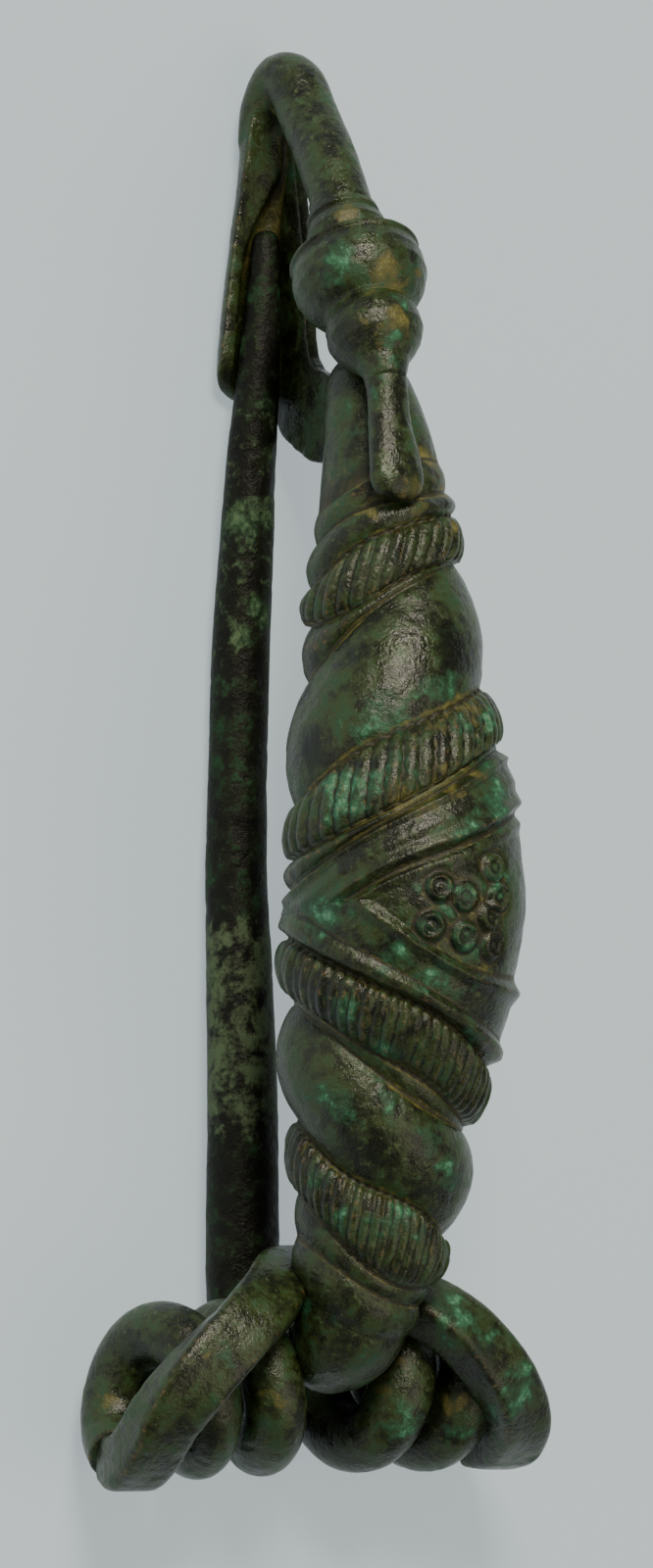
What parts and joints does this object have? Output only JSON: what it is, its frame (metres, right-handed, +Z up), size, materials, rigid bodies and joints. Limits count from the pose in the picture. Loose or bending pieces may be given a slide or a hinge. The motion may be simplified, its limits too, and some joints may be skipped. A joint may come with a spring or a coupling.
{
  "type": "fibula brooch",
  "caption": "Bronze brooch with a ribbed relief bow, reverted foot with ball mouldings, coiled spring with a chord, and a sprung pin that rests in a catch-plate trough.",
  "frame": {"origin": "centre of the overall length and width, at the lowest point of the brooch lying pin down", "axes": "+X from the spring to the foot, +Y along the spring towards the pin's side, +Z up through the crest of the bow"},
  "size_m": [0.0806, 0.0268, 0.0221],
  "materials": {
    "body_bronze": "green and olive-black patina over bronze",
    "pin_bronze": "dark olive-black patina over bronze"
  },
  "bodies": {
    "brooch": {"brooch_body": "body_bronze"},
    "pin_arm": {"pin": "pin_bronze"}
  },
  "joints": [
    {"name": "pin_lift", "type": "hinge", "parent": "brooch", "child": "pin_arm", "pos_m": [-0.03467, 0.00212, 0.00574], "axis": [0, -1, 0], "range_deg": [0, 3], "stiffness_Nm_per_rad": 0.5, "springref_deg": -1.72}
  ]
}
